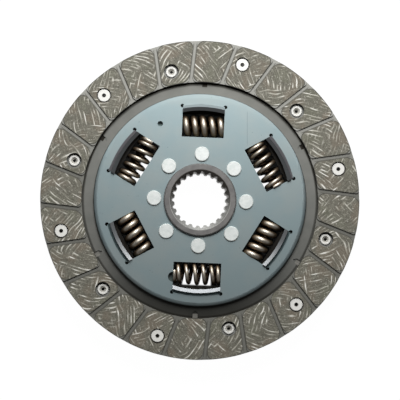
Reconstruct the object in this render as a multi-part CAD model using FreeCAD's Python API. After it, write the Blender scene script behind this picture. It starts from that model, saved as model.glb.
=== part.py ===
import FreeCAD, Part
import math
import os

# A sprung clutch disc, 216 mm across, in mm. Z is the axis of the input shaft and
# the hub's rear end stands on z = 0. Every piece is first drawn about the disc's
# middle plane and is lifted into place when it is written.

# Splined hub
hub_length = 27.0
hub_above_cover = 2.5
hub_wall = 5.3
hub_edge_chamfer = 0.8
spline_teeth = 23
spline_pitch_d = 36.5125
spline_pressure_angle = 30.0
spline_tooth_inward = 0.796
spline_tooth_outward = 0.944
spline_lead_in = 1.2
spline_first_space = 9.4

# Rivets that hold the two cover plates to the hub flange
hub_rivet_count = 8
hub_rivet_from_hub = 6.6
hub_rivet_shank_r = 3.1
hub_rivet_head_r = 5.0
hub_rivet_head_h = 1.3
hub_rivet_dome_r = 4.7
hub_rivet_dome_h = 1.9
hub_rivet_edge = 0.45
flange_beyond_rivets = 5.9

# Cover plates, both pressed from the same sheet
cover_t = 2.5
cover_gap = 1.6
cover_bore_gap = 0.15
cover_beyond_lip = 7.2
rim_bend_r = 2.7
rim_gap = 0.3
long_window_half = 16.1
short_window_half = 14.2
window_first_angle = 30.0
windows_of_a_kind = 3
window_inside_spring = 0.3
lip_beyond_spring = 7.1
lip_bend_r = 2.0
lip_angle = 75.0
lip_straight = 1.0
relief_r = 1.25
relief_outset = 0.4
locating_hole_r = 1.85
locating_hole_beyond_springs = 8.2
side_notch_r = 3.4
side_notch_beyond_springs = 2.6

# Driven disc that carries the friction facings: two plates back to back
driven_plate_t = 1.0
carrier_bore_gap = 0.08
carrier_inside_facing = 2.0
paddle_count = 6
paddle_slot_w = 3.5
paddle_slot_point = 2.0
paddle_slot_beyond_cover = 2.6

# Stops: lugs of the driven disc in notches of the hub flange
stop_count = 4
stop_lug_half_angle = 5.0
stop_travel = 4.0
stop_gap_angle = 0.5
stop_lug_depth = 5.4
stop_root_gap = 0.6

# Damper springs, closed and ground at both ends
spring_outer_r = 7.9
spring_side_gap = 0.1
spring_end_gap = 0.05
long_wire_d = 2.8
short_wire_d = 4.2
short_spring_free_play = 1.2
long_spring_turns = 6.5
short_spring_turns = 4.75
spring_start_turn = 0.8
closed_turns = 0.8
pitch_change_turns = 0.5
ground_share = 0.3

# Friction washers between the driven disc and the covers
washer_bore_gap = 0.3
washer_w = 4.4
washer_to_window = 0.7

# Friction facings
facing_beyond_cover = 7.8
facing_w = 28.0
facing_t = 3.3
pad_count = 24
groove_w = 2.7
groove_depth = 1.0
groove_lean = 9.8
groove_first_angle = -4.6
pad_inner_corner_r = 2.5
pad_outer_corner_r = 2.0

# Tubular rivets of the facings: front ones on the outer circle, rear ones on the inner
facing_rivet_count = 6
front_rivets_from_edge = 16.2
rear_rivets_from_edge = 9.2
rivets_before_slot = 15.0
facing_rivet_shank_r = 2.1
facing_rivet_bore_r = 1.1
facing_rivet_head_r = 4.25
facing_rivet_head_h = 1.1
facing_rivet_curl_r = 3.65
facing_rivet_curl_h = 1.2
facing_rivet_bevel = 0.3
seat_r = 5.0
seat_depth = 2.0
rivet_access_r = 5.1

# Radii, worked out from the spline outwards
spline_minor_r = spline_pitch_d / 2 - spline_tooth_inward
spline_major_r = spline_pitch_d / 2 + spline_tooth_outward
hub_r = spline_major_r + hub_wall
hub_rivet_circle_r = hub_r + hub_rivet_from_hub
flange_r = hub_rivet_circle_r + flange_beyond_rivets
stop_lug_r = flange_r - stop_lug_depth
washer_outer_r = flange_r + washer_bore_gap + washer_w
window_inner = washer_outer_r + washer_to_window
spring_circle_r = window_inner + spring_outer_r - window_inside_spring
lip_root_r = spring_circle_r + spring_outer_r + lip_beyond_spring
cover_r = lip_root_r + cover_beyond_lip
paddle_slot_r = cover_r + paddle_slot_beyond_cover
facing_inner_r = cover_r + facing_beyond_cover
facing_outer_r = facing_inner_r + facing_w
carrier_r = facing_outer_r - carrier_inside_facing
front_rivet_circle_r = facing_inner_r + front_rivets_from_edge
rear_rivet_circle_r = facing_inner_r + rear_rivets_from_edge

# Heights, from the disc's middle plane
carrier_top = driven_plate_t
cover_under = carrier_top + cover_gap
cover_top = cover_under + cover_t
facing_top = carrier_top + facing_t
hub_front_reach = cover_top + hub_above_cover
middle_z = hub_length - hub_front_reach

# Long and short springs take turns around the disc
window_step = 180.0 / windows_of_a_kind
window_angles = {
    "long": [window_first_angle + 2 * k * window_step for k in range(windows_of_a_kind)],
    "short": [window_first_angle + (2 * k + 1) * window_step for k in range(windows_of_a_kind)],
}
window_half = {"long": long_window_half, "short": short_window_half}
wire_d = {"long": long_wire_d, "short": short_wire_d}
spring_turns = {"long": long_spring_turns, "short": short_spring_turns}
first_rivet_angle = window_first_angle - rivets_before_slot

AXIS = FreeCAD.Vector(0, 0, 1)
CENTRE = FreeCAD.Vector(0, 0, 0)
OVER = 5.0


def polar(r, degrees, z=0.0):
    angle = math.radians(degrees)
    return FreeCAD.Vector(r * math.cos(angle), r * math.sin(angle), z)


def turned(shape, degrees):
    copy = shape.copy()
    copy.rotate(CENTRE, AXIS, degrees)
    return copy


def turned_over(shape):
    """The same piece on the disc's other side."""
    copy = shape.copy()
    copy.rotate(CENTRE, FreeCAD.Vector(0, 1, 0), 180)
    return copy


def ring_of(shape, count, first=0.0):
    return [turned(shape, first + k * 360.0 / count) for k in range(count)]


def drum(r, low, high, at=CENTRE):
    return Part.makeCylinder(r, high - low, at + FreeCAD.Vector(0, 0, low))


def block(x0, x1, y0, y1, z0, z1):
    return Part.makeBox(x1 - x0, y1 - y0, z1 - z0, FreeCAD.Vector(x0, y0, z0))


def section(path):
    """A closed face of (radius, height) points. A pair of points is an arc: its middle and its end."""
    edges = []
    here = first = FreeCAD.Vector(path[0][0], 0, path[0][1])
    for step in path[1:]:
        if isinstance(step[0], tuple):
            middle = FreeCAD.Vector(step[0][0], 0, step[0][1])
            end = FreeCAD.Vector(step[1][0], 0, step[1][1])
            edges.append(Part.Arc(here, middle, end).toShape())
        else:
            end = FreeCAD.Vector(step[0], 0, step[1])
            edges.append(Part.LineSegment(here, end).toShape())
        here = end
    if not here.isEqual(first, 1e-7):
        edges.append(Part.LineSegment(here, first).toShape())
    return Part.Face(Part.Wire(edges))


def revolved(path, degrees=360.0):
    return section(path).revolve(CENTRE, AXIS, degrees)


def on_arc(centre, r, degrees):
    angle = math.radians(degrees)
    return (centre[0] + r * math.cos(angle), centre[1] + r * math.sin(angle))


def sector(r0, r1, half_angle, low, high):
    """A block between two radii, centred on +X."""
    edges = [
        Part.LineSegment(polar(r0, -half_angle, low), polar(r1, -half_angle, low)).toShape(),
        Part.Arc(polar(r1, -half_angle, low), polar(r1, 0, low), polar(r1, half_angle, low)).toShape(),
        Part.LineSegment(polar(r1, half_angle, low), polar(r0, half_angle, low)).toShape(),
        Part.Arc(polar(r0, half_angle, low), polar(r0, 0, low), polar(r0, -half_angle, low)).toShape(),
    ]
    return Part.Face(Part.Wire(edges)).extrude(FreeCAD.Vector(0, 0, high - low))


def involute(angle):
    return math.tan(angle) - angle


def space_half_angle(r):
    """Half of the angle that a space between two spline teeth spans at radius r."""
    pressure = math.radians(spline_pressure_angle)
    base_r = spline_pitch_d / 2 * math.cos(pressure)
    half = math.pi / (2 * spline_teeth) + involute(pressure) - involute(math.acos(base_r / r))
    return math.degrees(half)


def spline_core(low, high):
    """The space inside the splined bore, with involute flanks."""
    step = 360.0 / spline_teeth
    middle_r = (spline_minor_r + spline_major_r) / 2
    at_minor = space_half_angle(spline_minor_r)
    at_middle = space_half_angle(middle_r)
    at_major = space_half_angle(spline_major_r)
    edges = []
    for k in range(spline_teeth):
        a = spline_first_space + k * step
        corners = [
            polar(spline_minor_r, a - at_minor, low),
            polar(middle_r, a - at_middle, low),
            polar(spline_major_r, a - at_major, low),
            polar(spline_major_r, a, low),
            polar(spline_major_r, a + at_major, low),
            polar(middle_r, a + at_middle, low),
            polar(spline_minor_r, a + at_minor, low),
            polar(spline_minor_r, a + step / 2, low),
            polar(spline_minor_r, a + step - at_minor, low),
        ]
        for i in (0, 2, 4, 6):
            edges.append(Part.Arc(corners[i], corners[i + 1], corners[i + 2]).toShape())
    return Part.Face(Part.Wire(edges)).extrude(FreeCAD.Vector(0, 0, high - low))


def hub_rivet_holes(low, high):
    at = FreeCAD.Vector(hub_rivet_circle_r, 0, 0)
    return ring_of(drum(hub_rivet_shank_r, low, high, at), hub_rivet_count)


def make_hub():
    front = hub_front_reach
    rear = hub_front_reach - hub_length
    ch = hub_edge_chamfer
    half = cover_under
    inside_r = spline_minor_r / 2
    body = revolved([
        (inside_r, rear),
        (hub_r - ch, rear),
        (hub_r, rear + ch),
        (hub_r, -half),
        (flange_r, -half),
        (flange_r, half),
        (hub_r, half),
        (hub_r, front - ch),
        (hub_r - ch, front),
        (inside_r, front),
    ])
    mouth_r = spline_major_r + spline_lead_in
    lead_in = Part.makeCone(mouth_r, 0, mouth_r, FreeCAD.Vector(0, 0, front), FreeCAD.Vector(0, 0, -1))
    lead_out = Part.makeCone(mouth_r, 0, mouth_r, FreeCAD.Vector(0, 0, rear), AXIS)
    notch_half = stop_lug_half_angle + stop_travel + stop_gap_angle
    notch = sector(stop_lug_r - stop_root_gap, flange_r + OVER, notch_half, -half, half)
    between_rivets = 180.0 / hub_rivet_count
    tools = [spline_core(rear - OVER, front + OVER), lead_in, lead_out]
    tools += ring_of(notch, stop_count, between_rivets)
    tools += hub_rivet_holes(-half, half)
    return body.cut(tools)


def make_hub_rivets():
    """Flat factory heads in front and formed, slightly domed heads behind."""
    e = hub_rivet_edge
    crown = 2 * e
    head_top = cover_top + hub_rivet_head_h
    dome_low = -cover_top - hub_rivet_dome_h
    rivet = revolved([
        (0, dome_low),
        (hub_rivet_dome_r - e - crown, dome_low),
        (hub_rivet_dome_r - e, dome_low + e),
        (hub_rivet_dome_r, dome_low + e + crown),
        (hub_rivet_dome_r, -cover_top),
        (hub_rivet_shank_r, -cover_top),
        (hub_rivet_shank_r, cover_top),
        (hub_rivet_head_r, cover_top),
        (hub_rivet_head_r, head_top - e),
        (hub_rivet_head_r - e, head_top),
        (0, head_top),
    ])
    rivet.translate(FreeCAD.Vector(hub_rivet_circle_r, 0, 0))
    return Part.Compound(ring_of(rivet, hub_rivet_count))


def window_lip(half):
    """The outer edge of a window at +Y, bent up and in around the spring."""
    bend = (lip_root_r, cover_top + lip_bend_r)
    outer_r = lip_bend_r + cover_t
    end_angle = -90.0 - lip_angle
    mid_angle = -90.0 - lip_angle / 2
    along = (-math.cos(math.radians(lip_angle)), math.sin(math.radians(lip_angle)))
    upper_end = on_arc(bend, lip_bend_r, end_angle)
    lower_end = on_arc(bend, outer_r, end_angle)
    upper_tip = (upper_end[0] + lip_straight * along[0], upper_end[1] + lip_straight * along[1])
    lower_tip = (lower_end[0] + lip_straight * along[0], lower_end[1] + lip_straight * along[1])
    half_turn = math.degrees(math.asin(half / window_inner))
    lip = revolved([
        (lip_root_r, cover_under),
        (lip_root_r, cover_top),
        (on_arc(bend, lip_bend_r, mid_angle), upper_end),
        upper_tip,
        lower_tip,
        lower_end,
        (on_arc(bend, outer_r, mid_angle), (lip_root_r, cover_under)),
    ], 2 * half_turn)
    lip.rotate(CENTRE, AXIS, 90 - half_turn)
    slab = block(-half, half, 0, cover_r, 0, middle_z)
    return lip.common(slab)


def window_hole(half):
    """The hole of a window at +Y, with a relief hole at each end of its lip."""
    low = cover_under - OVER
    high = cover_top + OVER
    hole = block(-half, half, window_inner, cover_r, low, high).common(drum(lip_root_r, low, high))
    x = half + relief_outset
    y = math.sqrt(lip_root_r ** 2 - x ** 2)
    reliefs = [drum(relief_r, low, high, FreeCAD.Vector(side * x, y, 0)) for side in (-1, 1)]
    return hole.fuse(reliefs)


def make_cover():
    """The front cover plate, pressed from one sheet, with its rim turned down to the driven disc."""
    bend = (cover_r - rim_bend_r, cover_top - rim_bend_r)
    rim_low = carrier_top + rim_gap
    bore_r = hub_r + cover_bore_gap
    plate = revolved([
        (bore_r, cover_under),
        (cover_r - cover_t, cover_under),
        (cover_r - cover_t, rim_low),
        (cover_r, rim_low),
        (cover_r, bend[1]),
        (on_arc(bend, rim_bend_r, 45), (bend[0], cover_top)),
        (bore_r, cover_top),
    ])
    low = cover_under - OVER
    high = cover_top + OVER
    holes = hub_rivet_holes(low, high)
    locating_circle_r = spring_circle_r + locating_hole_beyond_springs
    locating_at = polar(locating_circle_r, window_first_angle + 1.5 * window_step)
    holes.append(drum(locating_hole_r, low, high, locating_at))
    lips = []
    for kind, angles in window_angles.items():
        for angle in angles:
            holes.append(turned(window_hole(window_half[kind]), angle - 90))
            lips.append(turned(window_lip(window_half[kind]), angle - 90))
    notch_at = FreeCAD.Vector(long_window_half, spring_circle_r + side_notch_beyond_springs, 0)
    holes.append(turned(drum(side_notch_r, low, high, notch_at), window_angles["long"][-1] - 90))
    return plate.cut(holes).fuse(lips).removeSplitter()


def facing_rivet_holes(r, circle_r, first, low, high):
    hole = drum(r, low, high, FreeCAD.Vector(circle_r, 0, 0))
    return ring_of(hole, facing_rivet_count, first)


def rear_first_angle():
    """The rear rivets stand midway between the front ones."""
    return first_rivet_angle + 180.0 / facing_rivet_count


def carrier_window(kind):
    """The hole for one spring at +Y. The short springs start to work after some free travel."""
    play = short_spring_free_play if kind == "short" else 0.0
    half = window_half[kind] + play
    side = spring_outer_r + spring_side_gap
    return block(-half, half, spring_circle_r - side, spring_circle_r + side, -carrier_top, carrier_top)


def paddle_slot():
    """A slot along +X that splits the rim into paddles, with a pointed inner end."""
    half = paddle_slot_w / 2
    shoulder_r = paddle_slot_r + paddle_slot_point
    mouth_r = carrier_r + OVER
    outline = Part.makePolygon([
        FreeCAD.Vector(paddle_slot_r, 0, -carrier_top),
        FreeCAD.Vector(shoulder_r, -half, -carrier_top),
        FreeCAD.Vector(mouth_r, -half, -carrier_top),
        FreeCAD.Vector(mouth_r, half, -carrier_top),
        FreeCAD.Vector(shoulder_r, half, -carrier_top),
        FreeCAD.Vector(paddle_slot_r, 0, -carrier_top),
    ])
    return Part.Face(outline).extrude(AXIS * 2 * carrier_top)


def make_driven_plate(low, high, first_slot):
    """One plate of the driven disc: stop lugs in its bore, spring windows, and six paddles at its rim."""
    bore_r = flange_r + carrier_bore_gap
    disc = drum(carrier_r, low, high).cut(drum(bore_r, low, high))
    lug = sector(stop_lug_r, bore_r + OVER / 2, stop_lug_half_angle, low, high)
    disc = disc.fuse(ring_of(lug, stop_count, 180.0 / hub_rivet_count))
    tools = ring_of(paddle_slot(), paddle_count, first_slot)
    for kind, angles in window_angles.items():
        tools += [turned(carrier_window(kind), angle - 90) for angle in angles]
    shank = facing_rivet_shank_r
    tools += facing_rivet_holes(shank, front_rivet_circle_r, first_rivet_angle, low, high)
    tools += facing_rivet_holes(shank, rear_rivet_circle_r, rear_first_angle(), low, high)
    return disc.cut(tools).removeSplitter()


def make_washer():
    """A friction washer around the hub flange, between the driven disc and the front cover."""
    ring = drum(washer_outer_r, carrier_top, cover_under)
    return ring.cut(drum(flange_r + washer_bore_gap, carrier_top, cover_under))


def upright_edges(shape, height, from_r, to_r):
    """The edges along Z, of that height, that stand between two radii."""
    found = []
    for edge in shape.Edges:
        r = math.hypot(edge.CenterOfMass.x, edge.CenterOfMass.y)
        if abs(edge.BoundBox.ZLength - height) < 1e-6 and from_r < r < to_r:
            found.append(edge)
    return found


def facing_pad():
    """One raised pad between two slanting grooves, with rounded corners."""
    step = 360.0 / pad_count
    low = facing_top - groove_depth
    middle_r = (facing_outer_r + facing_inner_r) / 2
    groove_offset = middle_r * math.sin(math.radians(groove_lean))
    corners = []
    for angle, side, reach in (
        (groove_first_angle, 0.5, 0.5),
        (groove_first_angle, 0.5, 1.5),
        (groove_first_angle + step, -0.5, 1.5),
        (groove_first_angle + step, -0.5, 0.5),
    ):
        offset = groove_offset + side * groove_w
        corners.append(polar(reach * facing_outer_r, angle, low) + polar(offset, angle + 90))
    wedge = Part.Face(Part.makePolygon(corners + corners[:1])).extrude(AXIS * groove_depth)
    annulus = drum(facing_outer_r, low, facing_top).cut(drum(facing_inner_r, low, facing_top))
    pad = annulus.common(wedge)
    inner = upright_edges(pad, groove_depth, 0, middle_r)
    pad = pad.makeFillet(pad_inner_corner_r, inner)
    outer = upright_edges(pad, groove_depth, middle_r, math.inf)
    return pad.makeFillet(pad_outer_corner_r, outer)


def make_facing(own_circle_r, other_circle_r):
    """The front facing. Its own rivets sit in counterbores, and it clears the other facing's rivets."""
    low = facing_top - facing_t
    floor = facing_top - groove_depth
    base = drum(facing_outer_r, low, floor).cut(drum(facing_inner_r, low, floor))
    ring = base.fuse(ring_of(facing_pad(), pad_count)).removeSplitter()
    rear_first = rear_first_angle()
    seat_floor = facing_top - seat_depth
    tools = facing_rivet_holes(facing_rivet_shank_r, own_circle_r, first_rivet_angle, low, facing_top)
    tools += facing_rivet_holes(seat_r, own_circle_r, first_rivet_angle, seat_floor, facing_top)
    tools += facing_rivet_holes(rivet_access_r, other_circle_r, rear_first, low, facing_top)
    return ring.cut(tools)


def make_facing_rivets(circle_r):
    """Tubular rivets: a flat head in the facing and an end that is curled over behind the driven disc."""
    seat = facing_top - seat_depth
    head_top = seat + facing_rivet_head_h
    head_r = facing_rivet_head_r
    bevel = facing_rivet_bevel
    bore_r = facing_rivet_bore_r
    curl_low = -carrier_top - facing_rivet_curl_h
    rivet = revolved([
        (bore_r, head_top - bevel),
        (bore_r + bevel, head_top),
        (head_r - bevel, head_top),
        (head_r, head_top - bevel),
        (head_r, seat),
        (facing_rivet_shank_r, seat),
        (facing_rivet_shank_r, -carrier_top),
        (facing_rivet_curl_r, -carrier_top),
        (facing_rivet_curl_r, curl_low + bevel),
        (facing_rivet_curl_r - bevel, curl_low),
        (facing_rivet_shank_r + bevel, curl_low),
        (bore_r, -carrier_top),
    ])
    rivet.translate(FreeCAD.Vector(circle_r, 0, 0))
    return Part.Compound(ring_of(rivet, facing_rivet_count, first_rivet_angle))


def spring_line(kind, length):
    """The wire's centre line: closed coils at both ends and open ones between, along X.

    The wire's end lies behind, a part of a turn from the coil's outermost side.
    """
    d = wire_d[kind]
    coil_r = spring_outer_r - d / 2
    turns = spring_turns[kind]
    samples_a_turn = 8
    count = round(turns * samples_a_turn)
    openness = []
    for i in range(count):
        turn = (i + 0.5) * turns / count
        from_end = min(turn, turns - turn)
        share = min(max((from_end - closed_turns) / pitch_change_turns, 0.0), 1.0)
        openness.append(share * share * (3 - 2 * share))
    end_at = length / 2 - (0.5 - ground_share) * d
    open_pitch = (2 * end_at - d * turns) / (sum(openness) * turns / count) + d
    x = -end_at
    points = []
    for i in range(count + 1):
        angle = 2 * math.pi * (spring_start_turn + i / samples_a_turn)
        points.append(FreeCAD.Vector(x, coil_r * math.cos(angle), coil_r * math.sin(angle)))
        if i < count:
            x += (d + (open_pitch - d) * openness[i]) * turns / count
    return points


def make_spring(kind):
    """A helical compression spring in the window at +Y, its end coils ground flat."""
    length = 2 * (window_half[kind] - spring_end_gap)
    points = spring_line(kind, length)
    curve = Part.BSplineCurve()
    curve.interpolate(points)
    path = Part.Wire([curve.toShape()])
    start, along = curve.value(curve.FirstParameter), curve.tangent(curve.FirstParameter)[0]
    wire_section = Part.Wire([Part.makeCircle(wire_d[kind] / 2, start, along)])
    coil = path.makePipeShell([wire_section], True, True)
    reach = spring_outer_r + OVER
    coil = coil.common(block(-length / 2, length / 2, -reach, reach, -reach, reach))
    coil.translate(FreeCAD.Vector(0, spring_circle_r, 0))
    return coil


def save(name, shape):
    shape.translate(FreeCAD.Vector(0, 0, middle_z))
    shape.exportStep("parts/" + name + ".step")


def main():
    os.makedirs("parts", exist_ok=True)
    save("hub", make_hub())
    save("hub_rivets", make_hub_rivets())
    save("front_cover_plate", make_cover())
    save("rear_cover_plate", turned_over(make_cover()))
    save("front_friction_washer", make_washer())
    save("rear_friction_washer", turned_over(make_washer()))
    first_slot = window_angles["long"][0]
    save("driven_disc", make_driven_plate(0, carrier_top, first_slot))
    save("driven_disc_rear_plate", make_driven_plate(-carrier_top, 0, first_slot + 180.0 / paddle_count))
    save("front_facing", make_facing(front_rivet_circle_r, rear_rivet_circle_r))
    save("rear_facing", turned_over(make_facing(rear_rivet_circle_r, front_rivet_circle_r)))
    save("front_facing_rivets", make_facing_rivets(front_rivet_circle_r))
    save("rear_facing_rivets", turned_over(make_facing_rivets(rear_rivet_circle_r)))
    for kind, angles in window_angles.items():
        spring = make_spring(kind)
        for number, angle in enumerate(angles, 1):
            save(f"{kind}_damper_spring_{number}", turned(spring, angle - 90))


main()
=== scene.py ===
import math

import bmesh
import bpy
from mathutils import Matrix, Vector


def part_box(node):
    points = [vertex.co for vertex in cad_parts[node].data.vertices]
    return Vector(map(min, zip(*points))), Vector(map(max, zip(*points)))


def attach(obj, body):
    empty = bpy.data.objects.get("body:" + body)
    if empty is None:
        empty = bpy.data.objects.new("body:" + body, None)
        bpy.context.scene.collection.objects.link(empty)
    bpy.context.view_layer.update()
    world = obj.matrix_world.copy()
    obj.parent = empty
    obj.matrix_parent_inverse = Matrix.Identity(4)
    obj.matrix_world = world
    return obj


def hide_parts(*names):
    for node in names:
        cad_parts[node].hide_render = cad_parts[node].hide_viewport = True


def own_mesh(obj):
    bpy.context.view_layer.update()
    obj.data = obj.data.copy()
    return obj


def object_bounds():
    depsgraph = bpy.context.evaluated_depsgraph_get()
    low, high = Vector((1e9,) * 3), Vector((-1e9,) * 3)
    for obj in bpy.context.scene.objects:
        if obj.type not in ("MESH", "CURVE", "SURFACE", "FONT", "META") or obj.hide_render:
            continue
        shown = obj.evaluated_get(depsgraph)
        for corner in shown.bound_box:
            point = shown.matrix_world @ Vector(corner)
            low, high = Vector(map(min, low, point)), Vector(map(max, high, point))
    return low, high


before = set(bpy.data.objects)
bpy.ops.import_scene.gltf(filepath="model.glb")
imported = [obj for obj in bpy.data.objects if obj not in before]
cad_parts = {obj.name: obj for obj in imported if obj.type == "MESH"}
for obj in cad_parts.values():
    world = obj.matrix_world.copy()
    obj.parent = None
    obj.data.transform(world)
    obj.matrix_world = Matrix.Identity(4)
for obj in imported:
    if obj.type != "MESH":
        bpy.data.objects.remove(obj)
cad_low, cad_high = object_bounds()

MM = 0.001

# How the photograph sees the disc: turned a little about its axis, from almost straight above
PICTURE_ROLL = math.radians(2.4)
PICTURE_WIDTH = 271.2 * MM
CAMERA_DISTANCE = 1.0
CAMERA_LEAN = (-0.017, -0.030)
CAMERA_TARGET = 2 * MM
SENSOR_WIDTH = 36.0

# Light: one soft key lamp behind the top of the picture, a lower one behind it, and a dim room
KEY_PLACE = (0.03, 0.36, 0.50)
KEY_SIZE = 0.34
KEY_WATTS = 3.3
LOW_PLACE = (-0.02, 0.60, 0.34)
LOW_SIZE = 0.36
LOW_WATTS = 1.1
ROOM_NEAR = 0.24
ROOM_FAR = 0.10
ROOM_LEFT = 0.06
ROOM_TOP = 0.04

# Floor: its half width, its gap under the disc, its painted shadow tone as seen beneath the disc, its tone
# for the light that it throws back, its glow and tone where it looks white, and the reach of the painted
# light through the bore
FLOOR_HALF = 4.0
FLOOR_GAP = 0.2 * MM
FLOOR_PAINTED_SHADOW = 0.15
FLOOR_PALE = 0.85
FLOOR_GLOW = 0.99
FLOOR_WHITE = 0.05
BORE_LIGHT_R = 18 * MM

# The disc's own sizes that the finishes follow. Heights count from the middle plane of the driven disc.
MIDDLE_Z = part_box("driven_disc")[0].z
FACING_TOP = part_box("front_facing")[1].z - MIDDLE_Z
FACING_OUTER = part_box("front_facing")[1].x
FACING_INNER = 80 * MM
GROOVES = 24
GROOVE_WIDTH = 2.7 * MM
GROOVE_DEPTH = 1.0 * MM
GROOVE_OFFSET = 16.0 * MM
GROOVE_ANGLE = math.radians(-4.6)
PAD_CORNER = 5.0 * MM
COVER_R = 72.2 * MM
COVER_TOP = 5.1 * MM
RIM_BEND = 2.7 * MM
LIP_TIP = 7.55 * MM
LIP_ROOT_R = 68.8 * MM
LIP_START_R = 56 * MM
DISH_SLOPE = math.tan(math.radians(5.5))
SCRATCH_X = 31.9 * MM
SCRATCH_LEAN = 0.04
SCRATCH_REACH = (37 * MM, 62 * MM)
TOOTH_ROOT_R = 20.9 * MM
LOCATING_HOLE = (-29.1 * MM, 50.4 * MM)
SIDE_NOTCH = (-16.1 * MM, -52.6 * MM)
SLOT_END_R = 76.8 * MM
FRONT_RIVETS = 96.2 * MM
REAR_RIVETS = 89.2 * MM
RIVET_ANGLE = math.radians(15)
RIVET_STEP = math.radians(60)

# Damper springs, as in the solids but with finer coils: where they lie, their radius, the turn at which the
# wire starts, the share of its thickness ground away at each end, and how the coil narrows towards its ends
SPRINGS_OF_A_KIND = 3
SPRING_CIRCLE = 50.0 * MM
SPRING_R = 7.9 * MM
SPRING_START = 0.8
GROUND_SHARE = 0.3
BARREL_SLOPE = 0.058
STEPS_A_TURN = 40
WIRE_SIDES = 18
SHARP_EDGE = math.radians(40)

# Of each kind: half its length, the wire's diameter, its turns, the angle of the first one, how far each end
# comes in at full twist, the closed turns at each end and the turns over which they open
SPRINGS = {
    "long": {"half": 16.05 * MM, "wire": 2.8 * MM, "turns": 6.5, "first": 30, "travel": 4.15 * MM,
             "closed": 0.8, "change": 0.5},
    "short": {"half": 14.15 * MM, "wire": 4.2 * MM, "turns": 4.75, "first": 90, "travel": 2.95 * MM,
              "closed": 0.3, "change": 0.3},
}

# Friction lining: yarn wound back and forth between the inner and outer edge, then pressed and ground.
# It turns back a little beyond those edges, and wanders from its course. Pale streaks show along its crests
# where a noise is over a mark, and the brightest dashes where that noise is higher still.
WINDINGS = 7
YARNS = 168
YARN_REACH = 1.12
YARN_WANDER = 7 * MM
YARN_WANDER_SIZE = 20 * MM
YARN_BREAK = 0.95
YARN_DRIFT = 1.3
YARN_CREST = (0.28, 0.44)
STREAK_MARK = (0.43, 0.58)
DASH_MARK = (0.57, 0.66)
ELSEWHERE = (0.3, 0.7, 0.0)

# Painted light on the floor where light would fall through the long windows: the window's angle, the patch's
# reach from the axis, how far its middle lies to the left of the window's, seen from the axis, and half its
# width
PAINTED_LIGHT_PATCHES = (
    (30, 38 * MM, 47.5 * MM, -4.0 * MM, 8.0 * MM),
    (150, 38 * MM, 47.5 * MM, 2.6 * MM, 9.2 * MM),
    (270, 50 * MM, 57.4 * MM, 0.3 * MM, 9.0 * MM),
)


def image_point(x, y, z):
    """A point given along the photograph's own right and up directions, seen from the disc's axis."""
    c, s = math.cos(PICTURE_ROLL), math.sin(PICTURE_ROLL)
    return Vector((x * c - y * s, x * s + y * c, z))


def look_at(thing, target, up):
    """Turns a camera or lamp to face a point, with its top towards a direction."""
    back = (thing.location - target).normalized()
    right = up.cross(back).normalized()
    top = back.cross(right)
    turn = Matrix((right, top, back)).transposed()
    thing.rotation_euler = turn.to_euler()


# Shader graphs

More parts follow.
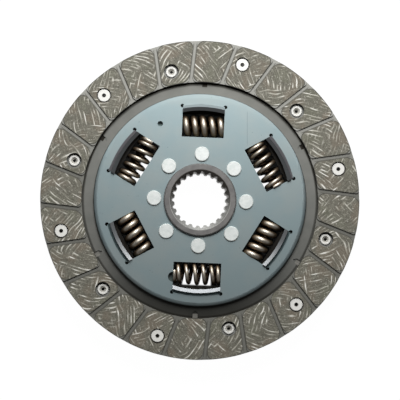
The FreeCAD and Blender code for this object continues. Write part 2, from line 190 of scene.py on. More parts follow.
class Graph:
    """A material's or world's node tree, with short ways to add and wire nodes."""

    def __init__(self, owner, output):
        owner.use_nodes = True
        self.material = owner
        self.tree = owner.node_tree
        self.tree.nodes.clear()
        self.output = self.tree.nodes.new(output)

    @classmethod
    def named(cls, name):
        return cls(bpy.data.materials.new(name), "ShaderNodeOutputMaterial")

    @classmethod
    def of(cls, world):
        return cls(world, "ShaderNodeOutputWorld")

    def wire(self, value, socket):
        if isinstance(value, bpy.types.NodeSocket):
            self.tree.links.new(value, socket)
        elif isinstance(value, (tuple, list)) and len(value) == 3 and len(socket.default_value) == 4:
            socket.default_value = (*value, 1.0)
        else:
            socket.default_value = value

    def add(self, kind, settings=None, **inputs):
        node = self.tree.nodes.new("ShaderNode" + kind)
        for key, value in (settings or {}).items():
            setattr(node, key, value)
        for key, value in inputs.items():
            self.wire(value, node.inputs[key.replace("_", " ")])
        return node

    def math(self, operation, *values, clamp=False):
        node = self.add("Math", {"operation": operation, "use_clamp": clamp})
        for socket, value in zip(node.inputs, values):
            self.wire(value, socket)
        return node.outputs[0]

    def chain(self, operation, values):
        """One operation over several numbers, from the first to the last."""
        result = values[0]
        for value in values[1:]:
            result = self.math(operation, result, value)
        return result

    def sum(self, *values):
        return self.chain("ADD", values)

    def product(self, *values):
        return self.chain("MULTIPLY", values)

    def largest(self, *values):
        return self.chain("MAXIMUM", values)

    def smallest(self, *values):
        return self.chain("MINIMUM", values)

    def minus(self, first, second):
        return self.math("SUBTRACT", first, second)

    def ratio(self, first, second):
        return self.math("DIVIDE", first, second)

    def gap(self, first, second):
        """How far two numbers are apart."""
        return self.math("ABSOLUTE", self.minus(first, second))

    def angle(self, x, y):
        return self.math("ARCTAN2", y, x)

    def place(self):
        return self.add("TexCoord").outputs["Object"]

    def normal(self):
        return self.split(self.add("NewGeometry").outputs["Normal"])

    def split(self, vector):
        return self.add("SeparateXYZ", Vector=vector).outputs

    def join(self, x, y, z):
        return self.add("CombineXYZ", X=x, Y=y, Z=z).outputs[0]

    def side(self, z):
        """1 in front of the driven disc's middle plane, and -1 behind it."""
        return self.math("SIGN", self.minus(z, MIDDLE_Z))

    def noise(self, where, size, detail=2.0, roughness=0.5):
        """Noise whose features are about that size, in metres."""
        node = self.add("TexNoise", Vector=where, Scale=1.0 / size, Detail=detail, Roughness=roughness)
        return node.outputs["Fac"]

    def patches(self, where, size, detail=3.0):
        """Soft patches of about that size, spread out to run from 0 to 1."""
        return self.range(self.noise(where, size, detail), 0.3, 0.7)

    def range(self, value, low, high, to_low=0.0, to_high=1.0):
        """Runs from one value to another as the input goes from low to high, smoothly."""
        node = self.add("MapRange", {"interpolation_type": "SMOOTHSTEP"}, Value=value)
        for key, number in (("From Min", low), ("From Max", high), ("To Min", to_low), ("To Max", to_high)):
            self.wire(number, node.inputs[key])
        return node.outputs[0]

    def band(self, value, start, full, fade, end):
        """Rises from 0 to 1 between start and full, and falls back to 0 between fade and end."""
        return self.product(self.range(value, start, full), self.range(value, end, fade))

    def blend(self, share, first, second):
        """A colour between two."""
        node = self.add("Mix", {"data_type": "RGBA"})
        self.wire(share, node.inputs["Factor"])
        self.wire(first, node.inputs[6])
        self.wire(second, node.inputs[7])
        return node.outputs[2]

    def tint(self, colour, share, other, strength):
        """Mixes another colour in, at most to that strength."""
        return self.blend(self.product(share, strength), colour, other)

    def mix(self, share, first, second):
        """A number between two."""
        return self.sum(first, self.product(self.minus(second, first), share))

    def radius(self, x, y, centre=(0.0, 0.0)):
        """Distance from a line along Z, at first from the disc's axis."""
        if centre != (0.0, 0.0):
            x = self.minus(x, centre[0])
            y = self.minus(y, centre[1])
        return self.math("SQRT", self.sum(self.product(x, x), self.product(y, y)))

    def bump(self, height, distance, strength=1.0, normal=None):
        node = self.add("Bump", Height=height, Distance=distance, Strength=strength)
        if normal is not None:
            self.wire(normal, node.inputs["Normal"])
        return node.outputs[0]

    def surface(self, **inputs):
        node = self.add("BsdfPrincipled", **inputs)
        self.tree.links.new(node.outputs[0], self.output.inputs["Surface"])
        return self.material


def srgb(r, g, b):
    """A colour given as the screen shows it, from 0 to 255."""
    def linear(value):
        value /= 255.0
        return value / 12.92 if value <= 0.04045 else ((value + 0.055) / 1.055) ** 2.4
    return (linear(r), linear(g), linear(b))


# Finishes

def cover_steel():
    """Pressed sheet with a blue-grey phosphate coat, satin and even on its outer faces, with painted light
    and shade: lips lighter at the top than at the bottom, a painted highlight on the cut edges of the lower
    lips, painted shade along the rim's edge, and dark painted shade on the faces turned towards the driven
    disc.
    """
    coat, coat_pale, coat_speck = srgb(152, 169, 172), srgb(158, 171, 172), srgb(92, 100, 102)
    lip_bottom_shade, lip_sides_shade, lip_top_lit = srgb(76, 92, 94), srgb(86, 84, 87), srgb(137, 148, 150)
    cut_edge, cut_highlight = srgb(117, 120, 122), srgb(192, 196, 198)
    scratched, rim_edge_shade, shade_on_inner_faces = srgb(80, 92, 96), srgb(70, 72, 70), srgb(34, 32, 29)

    g = Graph.named("cover_steel")
    p = g.place()
    x, y, z = g.split(p)
    r = g.radius(x, y)
    side = g.side(z)
    height = g.gap(z, MIDDLE_Z)
    nx, ny, nz = g.normal()
    outward = g.product(nz, side)
    towards_top = g.ratio(y, r)
    on_lips = g.range(r, LIP_START_R, LIP_START_R + 1 * MM)

    colour = g.blend(g.range(g.noise(p, 18 * MM, 3.0), 0.35, 0.65), coat, coat_pale)
    specks = g.range(g.noise(p, 1.4 * MM, 1.0), 0.76, 0.82)
    colour = g.tint(colour, specks, coat_speck, 0.4)

    bent = g.largest(g.range(outward, 0.998, 0.985),
                     g.range(height, COVER_TOP + 0.02 * MM, COVER_TOP + 0.1 * MM))
    fillet = g.product(bent, on_lips, g.range(r, LIP_ROOT_R, LIP_ROOT_R - 0.4 * MM))
    # Painted light and shade on the lips: dark at the bottom and the sides, lighter at the top
    lip_light_and_shade = g.blend(g.range(towards_top, -0.3, 0.2), lip_bottom_shade, lip_sides_shade)
    lip_light_and_shade = g.blend(g.range(towards_top, 0.80, 0.95), lip_light_and_shade, lip_top_lit)
    colour = g.blend(fillet, colour, lip_light_and_shade)
    cut = g.product(g.range(height, LIP_TIP - 1.6 * MM, LIP_TIP - 0.9 * MM), on_lips,
                    g.range(outward, 0.6, 0.9))
    # A painted highlight on the cut edges of the lips low on either side of the disc, but not at its very
    # bottom
    highlight_on_cut = g.product(g.range(towards_top, -0.36, -0.74), g.range(towards_top, -0.97, -0.82))
    colour = g.blend(cut, colour, g.blend(highlight_on_cut, cut_edge, cut_highlight))

    # Painted shade along the rim's outer edge
    colour = g.blend(g.range(r, COVER_R - 0.9 * MM, COVER_R - 0.1 * MM), colour, rim_edge_shade)
    # Painted shade on the faces turned towards the driven disc
    colour = g.blend(g.range(outward, 0.0, -0.3), colour, shade_on_inner_faces)
    low, high = SCRATCH_REACH
    across = g.gap(x, g.minus(SCRATCH_X, g.product(y, SCRATCH_LEAN)))
    scratch = g.product(g.range(across, 0.32 * MM, 0.12 * MM), g.range(side, 0.0, 1.0),
                        g.band(y, low, low + 3 * MM, high - 2 * MM, high))
    colour = g.tint(colour, scratch, scratched, 0.30)

    # Towards the top, the bend of the rim is shaded as if it were nearly flat
    flat = g.product(g.range(r, COVER_R - RIM_BEND - 0.1 * MM, COVER_R - RIM_BEND + 0.3 * MM),
                     g.range(outward, 0.2, 0.5), g.range(towards_top, -0.3, 0.7), 0.97)
    keep = g.minus(1.0, flat)
    eased = g.join(g.product(nx, keep), g.product(ny, keep),
                   g.sum(g.product(nz, keep), g.product(side, flat)))
    eased = g.add("VectorMath", {"operation": "NORMALIZE"}, Vector=eased).outputs[0]
    normal = g.bump(g.noise(p, 0.35 * MM, 4.0, 0.7), 0.02 * MM, 0.35, eased)
    rough = g.minus(g.sum(0.47, g.product(fillet, 0.40)), g.product(cut, 0.54))
    metal = g.product(g.minus(1.0, g.math("SUBTRACT", fillet, cut, clamp=True)), 0.75)
    return g.surface(Base_Color=colour, Metallic=metal, Roughness=rough, Normal=normal)


def disc_steel():
    """Bare spring steel of the driven disc, dull grey, dished a little between cover and facing, with painted
    shade between the covers, beside the facing and at the slot ends, and painted light in some holes of the
    covers and at the lower slot ends.
    """
    bare, bare_pale, shade_between_covers = srgb(134, 135, 130), srgb(142, 142, 137), srgb(36, 33, 29)
    coat, coat_in_hole_lit, band_shade_colour = srgb(150, 178, 177), srgb(214, 248, 246), srgb(46, 45, 40)
    shade, slot_end_shade, slot_end_lit = srgb(38, 36, 28), srgb(44, 41, 34), srgb(158, 156, 149)

    g = Graph.named("disc_steel")
    p = g.place()
    x, y, z = g.split(p)
    r = g.radius(x, y)
    towards_top = g.ratio(y, r)
    colour = g.blend(g.patches(p, 9 * MM), bare, bare_pale)
    # Painted shade: the plate is dark between the cover plates
    colour = g.blend(g.range(r, 68 * MM, 66 * MM), colour, shade_between_covers)

    # What shows through the holes of the cover plates has their coat. In the locating hole it is painted
    # paler, as painted light;
    # at the relief holes it shows only towards the bottom, as painted light that falls in.
    near_hole = g.range(g.radius(x, y, LOCATING_HOLE), 4 * MM, 3 * MM)
    near_notch = g.range(g.radius(x, y, SIDE_NOTCH), 5 * MM, 4 * MM)
    lit_relief_holes = g.product(g.band(r, 63 * MM, 64 * MM, 70 * MM, 71 * MM), g.range(towards_top, -0.6, -0.9))
    coated = g.largest(near_hole, near_notch, lit_relief_holes)
    colour = g.blend(coated, colour, g.blend(near_hole, coat, coat_in_hole_lit))

    # Painted shade beside the facing: darker towards the bottom and a little towards the top, a painted
    # shadow of the facing's edge near the top, and a dark line along the facing's inner edge, darkest at the
    # top.
    lower = g.product(g.range(towards_top, -0.45, -1.0), 0.80)
    upper = g.product(g.range(towards_top, 0.1, 1.0), 0.52)
    shadow = g.product(g.range(towards_top, 0.2, 0.9),
                       g.range(r, FACING_INNER - 4 * MM, FACING_INNER - 1.5 * MM))
    band_shade_share = g.largest(lower, upper, g.product(shadow, 0.85))
    band_shade_share = g.product(band_shade_share, g.range(r, FACING_INNER + 2 * MM, FACING_INNER + 1 * MM))
    colour = g.blend(band_shade_share, colour, band_shade_colour)
    under_facing = g.product(g.band(r, FACING_INNER - 1.9 * MM, FACING_INNER - 0.7 * MM,
                                    FACING_INNER + 0.5 * MM, FACING_INNER + 1.0 * MM),
                             g.range(towards_top, -0.2, 0.5, 0.7, 1.0))
    colour = g.blend(under_facing, colour, shade)

    # The ends of the slots between the paddles, where the other plate shows, with painted shade towards the
    # top and painted light towards the bottom.
    other_plate = g.product(g.range(g.gap(z, MIDDLE_Z), 0.2 * MM, 0.1 * MM),
                            g.range(r, SLOT_END_R, SLOT_END_R + 0.6 * MM))
    colour = g.blend(other_plate, colour, g.blend(g.range(towards_top, -0.3, -0.5), slot_end_shade, slot_end_lit))

    band_width = FACING_INNER - COVER_R
    across = g.math("DIVIDE", g.minus(r, COVER_R), band_width, clamp=True)
    fall = g.minus(across, g.product(across, across, 0.2))
    dish = g.product(fall, -DISH_SLOPE * band_width)
    normal = g.bump(dish, 1.0, 1.0, g.bump(g.noise(p, 0.4 * MM, 3.0, 0.6), 0.02 * MM, 0.4))
    below = g.range(r, FACING_INNER + 2 * MM, FACING_INNER + 3 * MM)
    metal = g.product(g.minus(1.0, g.largest(coated, below)), 0.75)
    return g.surface(Base_Color=colour, Metallic=metal, Roughness=0.52, Normal=normal)


def hub_steel():
    """Turned and broached steel, dull grey, with fine rings from the lathe; the teeth of the bore carry
    painted light at the bottom and painted shade at the top.
    """
    turned, turned_pale = srgb(117, 115, 114), srgb(133, 131, 129)
    tooth_lit, tooth_shaded = srgb(196, 196, 192), srgb(92, 88, 84)

    g = Graph.named("hub_steel")
    p = g.place()
    x, y, z = g.split(p)
    r = g.radius(x, y)
    rings = g.noise(g.join(g.product(r, 6.0), 0.0, g.product(z, 6.0)), 1.2 * MM, 3.0, 0.7)
    colour = g.blend(g.patches(p, 5 * MM), turned, turned_pale)
    teeth = g.range(r, TOOTH_ROOT_R, TOOTH_ROOT_R - 0.5 * MM)
    # Painted light and shade in the bore: the teeth are pale at the bottom and dark at the top
    colour = g.blend(teeth, colour, g.blend(g.range(g.ratio(y, r), -0.5, 0.5), tooth_lit, tooth_shaded))
    metal = g.sum(0.45, g.product(teeth, 0.4))
    return g.surface(Base_Color=colour, Metallic=metal, Roughness=0.5, Normal=g.bump(rings, 0.03 * MM, 0.5))


def rivet_steel():
    """Bright plated rivets, slightly uneven where the press closed them."""
    g = Graph.named("hub_rivet_steel")
    p = g.place()
    colour = g.blend(g.patches(p, 3 * MM, 2.0), srgb(236, 242, 239), srgb(249, 253, 250))
    dents = g.noise(p, 1.1 * MM, 3.0, 0.6)
    return g.surface(Base_Color=colour, Metallic=0.35, Roughness=0.42, Normal=g.bump(dents, 0.14 * MM, 0.45))


def spring_steel():
    """Oil-tempered wire, bronze, with painted light and shade: pale where the wire faces away from the driven
    disc's middle plane, nearly black on the faces turned back towards it.
    """
    lit_crown, lit_crown_pale = srgb(204, 195, 180), srgb(224, 217, 204)
    shaded_flank, shaded_inner_face = srgb(166, 144, 118), srgb(52, 42, 33)

    g = Graph.named("spring_steel")
    p = g.place()
    outward = g.product(g.normal()[2], g.side(g.split(p)[2]))
    # Painted light and shade by how each face turns: pale where the wire faces away from the middle plane,
    # brown as it turns sideways, nearly black where it faces back towards that plane
    colour = g.blend(g.patches(p, 4 * MM), lit_crown, lit_crown_pale)
    colour = g.blend(g.range(outward, 0.92, 0.60), colour, shaded_flank)
    colour = g.blend(g.range(outward, 0.55, 0.05), colour, shaded_inner_face)
    grain = g.noise(p, 0.3 * MM, 3.0, 0.7)
    return g.surface(Base_Color=colour, Metallic=1.0, Roughness=0.5, Normal=g.bump(grain, 0.015 * MM, 0.3))


def facing_rivet_metal():
    """Soft white-bright rivets: plain round the edge, grey and rough in the middle and in the bore."""
    plain, plain_pale, bore = srgb(244, 243, 236), srgb(252, 251, 246), srgb(96, 94, 88)
    curl, curl_pale = srgb(150, 148, 140), srgb(214, 212, 204)

    g = Graph.named("facing_rivet_metal")
    p = g.place()
    x, y, z = g.split(p)
    x = g.product(x, g.side(z))
    r = g.radius(x, y)
    angle = g.minus(g.angle(x, y), RIVET_ANGLE)

    def from_rivet(circle, turned):
        off = g.math("WRAP", g.minus(angle, turned), -RIVET_STEP / 2, RIVET_STEP / 2)
        across = g.minus(g.product(r, g.math("COSINE", off)), circle)
        return g.radius(across, g.product(r, g.math("SINE", off)))

    tool_marks = g.noise(p, 0.6 * MM, 3.0, 0.6)
    colour = g.blend(g.range(tool_marks, 0.3, 0.7), plain, plain_pale)
    colour = g.blend(g.range(from_rivet(FRONT_RIVETS, 0.0), 1.6 * MM, 1.15 * MM), colour, bore)
    middle = g.blend(g.range(tool_marks, 0.35, 0.65), curl, curl_pale)
    colour = g.blend(g.range(from_rivet(REAR_RIVETS, RIVET_STEP / 2), 2.3 * MM, 2.0 * MM), colour, middle)
    normal = g.bump(tool_marks, 0.03 * MM, 0.4)
    return g.surface(Base_Color=colour, Metallic=0.05, Roughness=0.42, Normal=normal)


def washer_fibre():
    """Matt brown fibre of the friction washers."""
    g = Graph.named("washer_fibre")
    fibre = g.noise(g.place(), 0.8 * MM, 4.0, 0.7)
    colour = g.blend(fibre, srgb(70, 62, 52), srgb(104, 94, 80))
    return g.surface(Base_Color=colour, Roughness=0.8, Normal=g.bump(fibre, 0.05 * MM, 0.5))


def yarn_family(g, turn, swing, lean):
    """Pale broken streaks of one of the two crossing families of yarn, their brightest dashes, and fibres."""
    phase = g.sum(turn, g.product(swing, lean))
    along = g.minus(turn, g.product(swing, lean))
    across = g.product(phase, YARNS / WINDINGS / (2 * math.pi))
    where = g.join(across, g.product(along, YARN_BREAK), 10.0 * lean)
    drift = g.product(g.minus(g.noise(where, 3.0, 1.0), 0.5), YARN_DRIFT)
    line = g.range(g.math("PINGPONG", g.sum(across, drift), 0.5), *YARN_CREST)
    luck = g.noise(where, 0.85, 1.0)
    streak = g.product(line, g.range(luck, *STREAK_MARK))
    dash = g.product(line, g.range(luck, *DASH_MARK))
    fibres = g.noise(g.join(g.product(across, 5.0), along, 20.0 * lean), 1.0, 2.0)
    return streak, dash, fibres


def wound_yarn(g, p, x, y, round_disc):
    """Streaks, bright dashes and fibres of yarn that swings between the facing's edges as it goes round."""
    def wander(where):
        return g.product(g.minus(g.noise(where, YARN_WANDER_SIZE, 1.0), 0.5), YARN_WANDER)

    elsewhere = g.add("VectorMath", {"operation": "ADD"})
    g.wire(p, elsewhere.inputs[0])
    g.wire(ELSEWHERE, elsewhere.inputs[1])
    bent_x, bent_y = g.sum(x, wander(p)), g.sum(y, wander(elsewhere.outputs[0]))
    middle = (FACING_OUTER + FACING_INNER) / 2
    half = (FACING_OUTER - FACING_INNER) / 2 * YARN_REACH
    reach = g.ratio(g.minus(g.radius(bent_x, bent_y), middle), half)
    swing = g.math("ARCSINE", g.smallest(g.largest(reach, -1.0), 1.0))
    bend = g.math("WRAP", g.minus(g.angle(bent_x, bent_y), g.angle(x, y)), -math.pi, math.pi)
    turn = g.product(g.sum(round_disc, bend), float(WINDINGS))
    one = yarn_family(g, turn, swing, 1.0)
    other = yarn_family(g, turn, swing, -1.0)

    # One family lies on top here and the other there, and some places have few streaks
    on_top = g.range(g.noise(p, 16 * MM, 2.0), 0.47, 0.53)
    streak, dash, fibres = (g.mix(on_top, there, here) for here, there in zip(one, other))
    busy = g.range(g.noise(p, 8 * MM, 1.0), 0.38, 0.50, 0.2, 1.0)
    return g.product(streak, busy), g.product(dash, busy), fibres


def friction_lining():
    """Wound yarn in resin: grey-olive ground, pale streaks in two crossing directions, grooves; painted light
    and shade on the grooves, the pads' rims, the rivet seats and the walls, and a painted sheen on the
    dashes.
    """
    resin, resin_pale = srgb(88, 86, 75), srgb(136, 133, 120)
    brown, olive, fleck = srgb(134, 118, 101), srgb(112, 116, 94), srgb(214, 212, 202)
    yarn, yarn_bright, pad_rim_shade = srgb(210, 207, 193), srgb(244, 242, 234), srgb(66, 65, 58)
    groove_low_shade, groove_low_shade_pale = srgb(96, 96, 89), srgb(134, 133, 126)
    groove_top_lit, groove_top_lit_pale = srgb(150, 150, 143), srgb(178, 177, 170)
    groove_side_shade_low, groove_side_shade_top = srgb(92, 91, 84), srgb(112, 111, 103)
    seat_shade, wall_shade = srgb(84, 81, 74), srgb(64, 62, 56)

    g = Graph.named("friction_lining")
    p = g.place()
    x, y, z = g.split(p)
    x = g.product(x, g.side(z))
    height = g.gap(z, MIDDLE_Z)
    r = g.radius(x, y)
    towards_top = g.ratio(y, r)
    lean = g.math("ARCSINE", g.smallest(g.ratio(GROOVE_OFFSET, r), 1.0))
    from_groove = g.minus(g.angle(x, y), g.sum(lean, GROOVE_ANGLE))
    step = 2 * math.pi / GROOVES
    to_groove = g.math("WRAP", from_groove, -step / 2, step / 2)
    to_groove = g.math("ABSOLUTE", g.product(to_groove, r, g.math("COSINE", lean)))

    # Resin and yarn
    round_disc = g.sum(g.math("WRAP", from_groove, 0.0, 2 * math.pi), lean)
    streak, dash, fibres = wound_yarn(g, p, x, y, round_disc)
    shade = g.sum(g.product(g.noise(p, 0.9 * MM, 3.0, 0.8), 0.6), g.product(fibres, 0.4))
    cloud = g.noise(p, 13 * MM, 2.0)
    colour = g.blend(g.range(shade, 0.34, 0.66), resin, resin_pale)
    colour = g.tint(colour, g.range(cloud, 0.50, 0.64), brown, 0.32)
    colour = g.tint(colour, g.range(cloud, 0.45, 0.34), olive, 0.22)
    colour = g.tint(colour, g.range(g.noise(p, 0.9 * MM, 1.0), 0.66, 0.74), fleck, 0.55)
    colour = g.tint(colour, streak, yarn, 0.78)
    bright = g.range(g.noise(p, 24 * MM, 1.0), 0.38, 0.60, 0.35, 0.95)
    # Painted sheen: towards the bottom the brightest dashes show in full
    bright = g.largest(bright, g.range(towards_top, 0.2, -0.4, 0.0, 0.95))
    colour = g.blend(g.product(dash, bright), colour, yarn_bright)

    # Painted shade along the rims of the pads, and round corners drawn at their ends
    pad_edge = g.range(to_groove, GROOVE_WIDTH / 2 + 0.55 * MM, GROOVE_WIDTH / 2 + 0.1 * MM)
    from_side = g.minus(to_groove, GROOVE_WIDTH / 2 - PAD_CORNER)
    from_end = g.smallest(g.minus(FACING_OUTER, r), g.minus(r, FACING_INNER))
    corner = g.radius(g.largest(g.minus(2 * PAD_CORNER, from_side), 0.0),
                      g.largest(g.minus(PAD_CORNER, from_end), 0.0))
    round_edge = g.product(g.range(corner, PAD_CORNER - 0.55 * MM, PAD_CORNER - 0.2 * MM),
                           g.range(from_end, PAD_CORNER, PAD_CORNER - 0.8 * MM))
    colour = g.blend(g.largest(g.product(pad_edge, 0.55), g.product(round_edge, 0.9)), colour, pad_rim_shade)
    off_corner = g.range(corner, PAD_CORNER, PAD_CORNER + 0.2 * MM)

    # Grooves, with painted light towards the top and painted shade along their sides, so they are lighter
    # along their middle, and the seats of the rivets
    floor_at = FACING_TOP - GROOVE_DEPTH
    in_groove = g.range(height, floor_at + 0.5 * GROOVE_DEPTH, floor_at + 0.2 * GROOVE_DEPTH)
    deeper = g.range(height, floor_at - 0.2 * GROOVE_DEPTH, floor_at - 0.5 * GROOVE_DEPTH)
    middle_strip = g.largest(g.range(to_groove, 1.05 * MM, 0.55 * MM),
                             g.range(r, FACING_INNER + 3 * MM, FACING_INNER + 1.5 * MM),
                             g.range(r, FACING_OUTER - 2.5 * MM, FACING_OUTER - 1.2 * MM))
    upper = g.range(towards_top, 0.0, 0.75)
    groove = g.blend(upper, g.blend(shade, groove_low_shade, groove_low_shade_pale),
                     g.blend(shade, groove_top_lit, groove_top_lit_pale))
    colour = g.blend(off_corner, colour, groove)
    groove = g.blend(middle_strip, g.blend(upper, groove_side_shade_low, groove_side_shade_top), groove)
    colour = g.blend(in_groove, colour, groove)
    # Painted shade in the seats of the rivets
    colour = g.blend(deeper, colour, seat_shade)
    # Painted shade on the steep walls
    steep = g.math("ABSOLUTE", g.normal()[2])
    colour = g.blend(g.range(steep, 0.8, 0.4), colour, wall_shade)

    relief = g.sum(g.product(shade, 0.5), g.product(streak, 0.6))
    rough = g.range(streak, 0.0, 1.0, 0.72, 0.5)
    return g.surface(Base_Color=colour, Roughness=rough, Normal=g.bump(relief, 0.10 * MM, 0.6))


FINISHES = {
    "hub_steel": hub_steel,
    "hub_rivet_steel": rivet_steel,
    "cover_steel": cover_steel,
    "disc_steel": disc_steel,
    "spring_steel": spring_steel,
    "washer_fibre": washer_fibre,
    "friction_lining": friction_lining,
    "facing_rivet_metal": facing_rivet_metal,
}


def dress_nodes():
    """Gives each solid of the frame its finish."""
    made = {slot: make() for slot, make in FINISHES.items()}
    for node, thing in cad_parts.items():
        slot = slot_of(node)
        for place in thing.material_slots:
            place.material = made[slot]
    return made


def slot_of(node):
    """The material slot of a solid, by its name."""
    if node.startswith("hub_rivets"):
        return "hub_rivet_steel"
    if node.endswith("cover_plate"):
        return "cover_steel"
    if node.endswith("facing_rivets"):
        return "facing_rivet_metal"
    if node.endswith("facing"):
        return "friction_lining"
    if node.endswith("washer"):
        return "washer_fibre"
    if "spring" in node:
        return "spring_steel"
    return "disc_steel" if node.startswith("driven_disc") else "hub_steel"


# Damper springs

def coil_line(kind):
    """Turn and place along the axis of points on the wire's centre line, closed at both ends."""
    wire, turns = kind["wire"], kind["turns"]
    count = round(turns * STEPS_A_TURN)
    openness = []
    for i in range(count):
        turn = (i + 0.5) * turns / count
        share = min(max((min(turn, turns - turn) - kind["closed"]) / kind["change"], 0.0), 1.0)
        openness.append(share * share * (3 - 2 * share))
    end_at = kind["half"] - (0.5 - GROUND_SHARE) * wire
    opening = (2 * end_at - wire * turns) / (sum(openness) * turns / count)
    x = -end_at
    line = []
    for i in range(count + 1):
        line.append((SPRING_START + i * turns / count, x))
        if i < count:
            x += (wire + opening * openness[i]) * turns / count
    return line


def coil_mesh(name, kind):
    """The wire as a tube along X, ground flat at both ends, at the spring circle on +Y."""
    half, wire_r = kind["half"], kind["wire"] / 2
    line = coil_line(kind)
    points = []
    for turn, x in line:
        angle = 2 * math.pi * turn
        coil_r = SPRING_R - wire_r - BARREL_SLOPE * abs(x)
        points.append(Vector((x, coil_r * math.cos(angle), coil_r * math.sin(angle))))
    grid = bmesh.new()
    rings = []
    for i, point in enumerate(points):
        along = (points[min(i + 1, len(points) - 1)] - points[max(i - 1, 0)]).normalized()
        outward = Vector((0, point.y, point.z)).normalized()
        sideways = along.cross(outward).normalized()
        ring = []
        for k in range(WIRE_SIDES):
            angle = 2 * math.pi * k / WIRE_SIDES
            at = point + (outward * math.cos(angle) + sideways * math.sin(angle)) * wire_r
            at.x = min(max(at.x, -half), half)
            ring.append(grid.verts.new(at + Vector((0, SPRING_CIRCLE, MIDDLE_Z))))
        rings.append(ring)
    for one, two in zip(rings, rings[1:]):
        for k in range(WIRE_SIDES):
            grid.faces.new((one[k], one[(k + 1) % WIRE_SIDES], two[(k + 1) % WIRE_SIDES], two[k]))
    grid.faces.new(rings[0][::-1])
    grid.faces.new(rings[-1])
    bmesh.ops.recalc_face_normals(grid, faces=grid.faces)
    mesh = bpy.data.meshes.new(name)
    grid.to_mesh(mesh)
    grid.free()
    mesh.shade_smooth()
    mesh.set_sharp_from_angle(angle=SHARP_EDGE)
    return mesh


def make_springs(material):
    """Finer coils in place of the solids' springs."""
    for name, kind in SPRINGS.items():
        for number in range(SPRINGS_OF_A_KIND):
            angle = math.radians(kind["first"] + 360 / SPRINGS_OF_A_KIND * number - 90)
            mesh = coil_mesh(f"{name}_coil_{number + 1}", kind)
            mesh.transform(Matrix.Rotation(angle, 4, "Z"))
            mesh.materials.append(material)
            coil = bpy.data.objects.new(mesh.name, mesh)
            bpy.context.scene.collection.objects.link(coil)
            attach(coil, "hub_assembly")
            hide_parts(f"{name}_damper_spring_{number + 1}")
            middle = Vector((-math.sin(angle), math.cos(angle), 0)) * SPRING_CIRCLE
            middle.z = MIDDLE_Z
            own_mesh(coil)


# Studio

def painted_light_patch(g, x, y, window, near, far, shift, half):
    """A patch of painted light on the floor, where light would fall through one long window."""
    c, s = math.cos(math.radians(window)), math.sin(math.radians(window))
    out = g.sum(g.product(x, c), g.product(y, s))
    off = g.gap(g.minus(g.product(y, c), g.product(x, s)), shift)
    reach = g.band(out, near - 3 * MM, near, far, far + 1.5 * MM)
    return g.product(reach, g.range(off, half + 1.5 * MM, half))


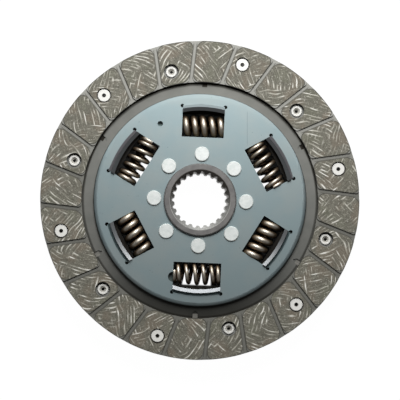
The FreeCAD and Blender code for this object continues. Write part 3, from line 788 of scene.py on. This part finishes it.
def make_floor():
    """A pale floor: white around the disc; beneath it the camera sees a dark painted shadow, but for patches
    of painted light through the bore and the long windows."""
    mesh = bpy.data.meshes.new("floor")
    low = cad_low.z - FLOOR_GAP
    corners = ((-1, -1), (1, -1), (1, 1), (-1, 1))
    mesh.from_pydata([(x * FLOOR_HALF, y * FLOOR_HALF, low) for x, y in corners], [], [(0, 1, 2, 3)])
    floor = bpy.data.objects.new("floor", mesh)
    bpy.context.scene.collection.objects.link(floor)

    g = Graph.named("floor_white")
    path = g.add("LightPath").outputs
    seen = g.largest(path["Is Camera Ray"], path["Is Glossy Ray"], path["Is Transmission Ray"])
    x, y, z = g.split(g.place())
    r = g.radius(x, y)
    around_disc = g.range(r, FACING_OUTER - 8 * MM, FACING_OUTER + 0.5 * MM)
    through_bore = g.range(r, BORE_LIGHT_R + 2 * MM, BORE_LIGHT_R)
    # Painted light through the bore and the long windows: there the floor glows white for the camera
    white = g.largest(around_disc, through_bore, *(painted_light_patch(g, x, y, *patch) for patch in PAINTED_LIGHT_PATCHES))
    # Painted shadow: beneath the disc the camera sees the floor in a dark tone
    tone = g.minus(FLOOR_PALE, g.product(seen, FLOOR_PALE - FLOOR_PAINTED_SHADOW))
    plain = g.add("BsdfDiffuse", Color=g.join(tone, tone, tone)).outputs[0]
    faint = g.add("BsdfDiffuse", Color=(FLOOR_WHITE, FLOOR_WHITE, FLOOR_WHITE)).outputs[0]
    glow = g.add("Emission", Color=(1.0, 1.0, 1.0), Strength=FLOOR_GLOW).outputs[0]
    shown = g.add("AddShader")
    g.tree.links.new(faint, shown.inputs[0])
    g.tree.links.new(glow, shown.inputs[1])
    both = g.add("MixShader", Fac=g.product(seen, white))
    g.tree.links.new(plain, both.inputs[1])
    g.tree.links.new(shown.outputs[0], both.inputs[2])
    g.tree.links.new(both.outputs[0], g.output.inputs["Surface"])
    mesh.materials.append(g.material)


def make_world():
    """A dim room: dark overhead and grey walls all round, darker on the side away from the key lamp."""
    world = bpy.data.worlds.new("studio")
    bpy.context.scene.world = world
    g = Graph.of(world)
    towards = g.split(g.add("TexCoord").outputs["Generated"])
    side = g.range(towards[1], -1.0, 1.0, ROOM_FAR, ROOM_NEAR)
    side = g.minus(side, g.product(towards[0], ROOM_LEFT))
    level = g.range(g.math("ABSOLUTE", towards[2]), 0.0, 0.9, 1.0, 0.0)
    strength = g.sum(g.product(side, level), ROOM_TOP)
    light = g.add("Background", Color=(1.0, 1.0, 1.0), Strength=strength).outputs[0]
    g.tree.links.new(light, g.output.inputs["Surface"])


def make_lamp(name, place, size, watts):
    """A round, soft lamp that faces the disc."""
    data = bpy.data.lights.new(name, "AREA")
    data.shape = "DISK"
    data.size = size
    data.energy = watts
    lamp = bpy.data.objects.new(name, data)
    bpy.context.scene.collection.objects.link(lamp)
    lamp.location = place
    look_at(lamp, Vector((0, 0, MIDDLE_Z)), Vector((1, 0, 0)))


def make_camera():
    """A long lens that sees the disc as the photograph does."""
    data = bpy.data.cameras.new("camera")
    data.sensor_width = SENSOR_WIDTH
    data.lens = SENSOR_WIDTH * CAMERA_DISTANCE / PICTURE_WIDTH
    camera = bpy.data.objects.new("camera", data)
    bpy.context.scene.collection.objects.link(camera)
    away = image_point(CAMERA_LEAN[0], CAMERA_LEAN[1], 1.0).normalized()
    target = Vector((0, 0, MIDDLE_Z + CAMERA_TARGET))
    camera.location = target + away * CAMERA_DISTANCE
    look_at(camera, target, image_point(0, 1, 0))
    bpy.context.scene.camera = camera


finishes = dress_nodes()
make_springs(finishes["spring_steel"])
make_floor()
make_world()
make_lamp("key", image_point(*KEY_PLACE), KEY_SIZE, KEY_WATTS)
make_lamp("low", image_point(*LOW_PLACE), LOW_SIZE, LOW_WATTS)
make_camera()
bpy.context.scene.view_settings.view_transform = "Standard"
